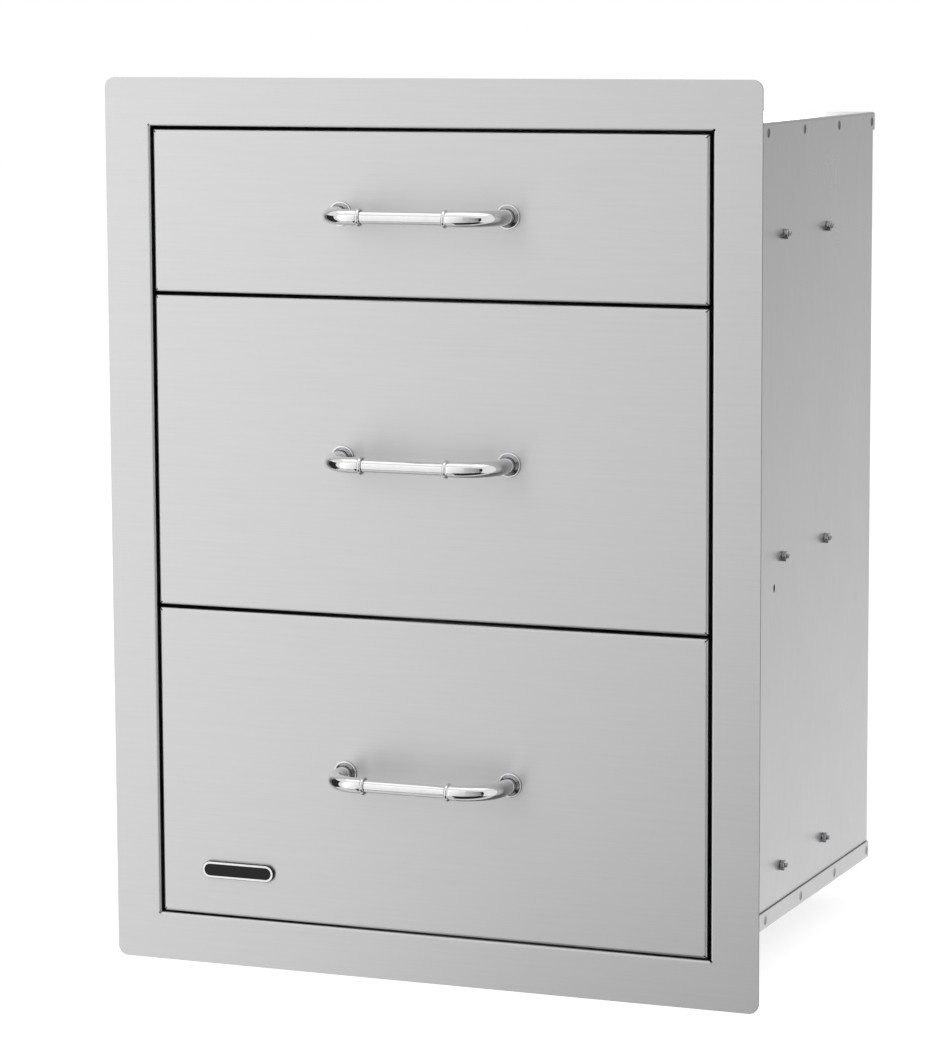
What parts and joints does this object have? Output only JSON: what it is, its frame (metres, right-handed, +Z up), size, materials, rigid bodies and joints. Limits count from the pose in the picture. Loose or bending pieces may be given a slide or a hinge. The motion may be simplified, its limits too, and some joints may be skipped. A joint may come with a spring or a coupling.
{
  "type": "outdoor kitchen drawer unit",
  "caption": "Built-in steel drawer unit for an outdoor kitchen island: flanged face frame, carcass, drawers on telescopic slides and bar handles.",
  "frame": {"origin": "on the wall's face, at the middle of the wall opening's lower edge, on the back of the frame's lower flange", "axes": "+X to the right seen from the front, +Y back into the wall, +Z up"},
  "size_m": [0.508, 0.4309, 0.6604],
  "materials": {
    "brushed_face": "stainless sheet brushed along its length, satin",
    "mill_steel": "stainless sheet as rolled, dull",
    "zinc_steel": "rolled steel, bright zinc plate",
    "chrome": "polished chrome",
    "dark_steel": "dark oiled steel"
  },
  "bodies": {
    "carcass": {"face_frame": "brushed_face", "top_panel": "mill_steel", "bottom_panel": "mill_steel", "right_side_panel": "mill_steel", "left_side_panel": "mill_steel", "back_panel": "mill_steel", "top_cabinet_member_right": "zinc_steel", "top_cabinet_member_left": "zinc_steel", "middle_cabinet_member_right": "zinc_steel", "middle_cabinet_member_left": "zinc_steel", "bottom_cabinet_member_right": "zinc_steel", "bottom_cabinet_member_left": "zinc_steel", "top_slide_bolt_front_right": "dark_steel", "top_slide_bolt_front_left": "dark_steel", "top_slide_bolt_rear_right": "dark_steel", "top_slide_bolt_rear_left": "dark_steel", "middle_slide_bolt_front_right": "dark_steel", "middle_slide_bolt_front_left": "dark_steel", "middle_slide_bolt_rear_right": "dark_steel", "middle_slide_bolt_rear_left": "dark_steel", "bottom_slide_bolt_front_right": "dark_steel", "bottom_slide_bolt_front_left": "dark_steel", "bottom_slide_bolt_rear_right": "dark_steel", "bottom_slide_bolt_rear_left": "dark_steel"},
    "top_runners": {"top_runner_right": "zinc_steel", "top_runner_left": "zinc_steel"},
    "middle_runners": {"middle_runner_right": "zinc_steel", "middle_runner_left": "zinc_steel"},
    "bottom_runners": {"bottom_runner_right": "zinc_steel", "bottom_runner_left": "zinc_steel"},
    "top_drawer": {"top_front_skin": "brushed_face", "top_front_liner": "mill_steel", "top_tray": "mill_steel", "top_drawer_member_right": "zinc_steel", "top_drawer_member_left": "zinc_steel", "top_handle_post_right": "chrome", "top_handle_post_left": "chrome", "top_rosette_right": "chrome", "top_rosette_left": "chrome", "top_handle_bar": "chrome"},
    "middle_drawer": {"middle_front_skin": "brushed_face", "middle_front_liner": "mill_steel", "middle_tray": "mill_steel", "middle_drawer_member_right": "zinc_steel", "middle_drawer_member_left": "zinc_steel", "middle_handle_post_right": "chrome", "middle_handle_post_left": "chrome", "middle_rosette_right": "chrome", "middle_rosette_left": "chrome", "middle_handle_bar": "chrome"},
    "bottom_drawer": {"bottom_front_skin": "brushed_face", "bottom_front_liner": "mill_steel", "bottom_tray": "mill_steel", "bottom_drawer_member_right": "zinc_steel", "bottom_drawer_member_left": "zinc_steel", "bottom_handle_post_right": "chrome", "bottom_handle_post_left": "chrome", "bottom_rosette_right": "chrome", "bottom_rosette_left": "chrome", "bottom_handle_bar": "chrome"}
  },
  "joints": [
    {"name": "top_drawer_slide", "type": "slide", "parent": "carcass", "child": "top_drawer", "axis": [0, -1, 0], "range_m": [0, 0.34]},
    {"name": "middle_drawer_slide", "type": "slide", "parent": "carcass", "child": "middle_drawer", "axis": [0, -1, 0], "range_m": [0, 0.34]},
    {"name": "bottom_drawer_slide", "type": "slide", "parent": "carcass", "child": "bottom_drawer", "axis": [0, -1, 0], "range_m": [0, 0.34]},
    {"name": "top_runner_slide", "type": "slide", "parent": "carcass", "child": "top_runners", "axis": [0, -1, 0], "range_m": [0, 0.17]},
    {"name": "middle_runner_slide", "type": "slide", "parent": "carcass", "child": "middle_runners", "axis": [0, -1, 0], "range_m": [0, 0.17]},
    {"name": "bottom_runner_slide", "type": "slide", "parent": "carcass", "child": "bottom_runners", "axis": [0, -1, 0], "range_m": [0, 0.17]}
  ],
  "couplings": [
    {"joint": "top_runner_slide", "follows": "top_drawer_slide", "ratio": 0.5},
    {"joint": "middle_runner_slide", "follows": "middle_drawer_slide", "ratio": 0.5},
    {"joint": "bottom_runner_slide", "follows": "bottom_drawer_slide", "ratio": 0.5}
  ]
}
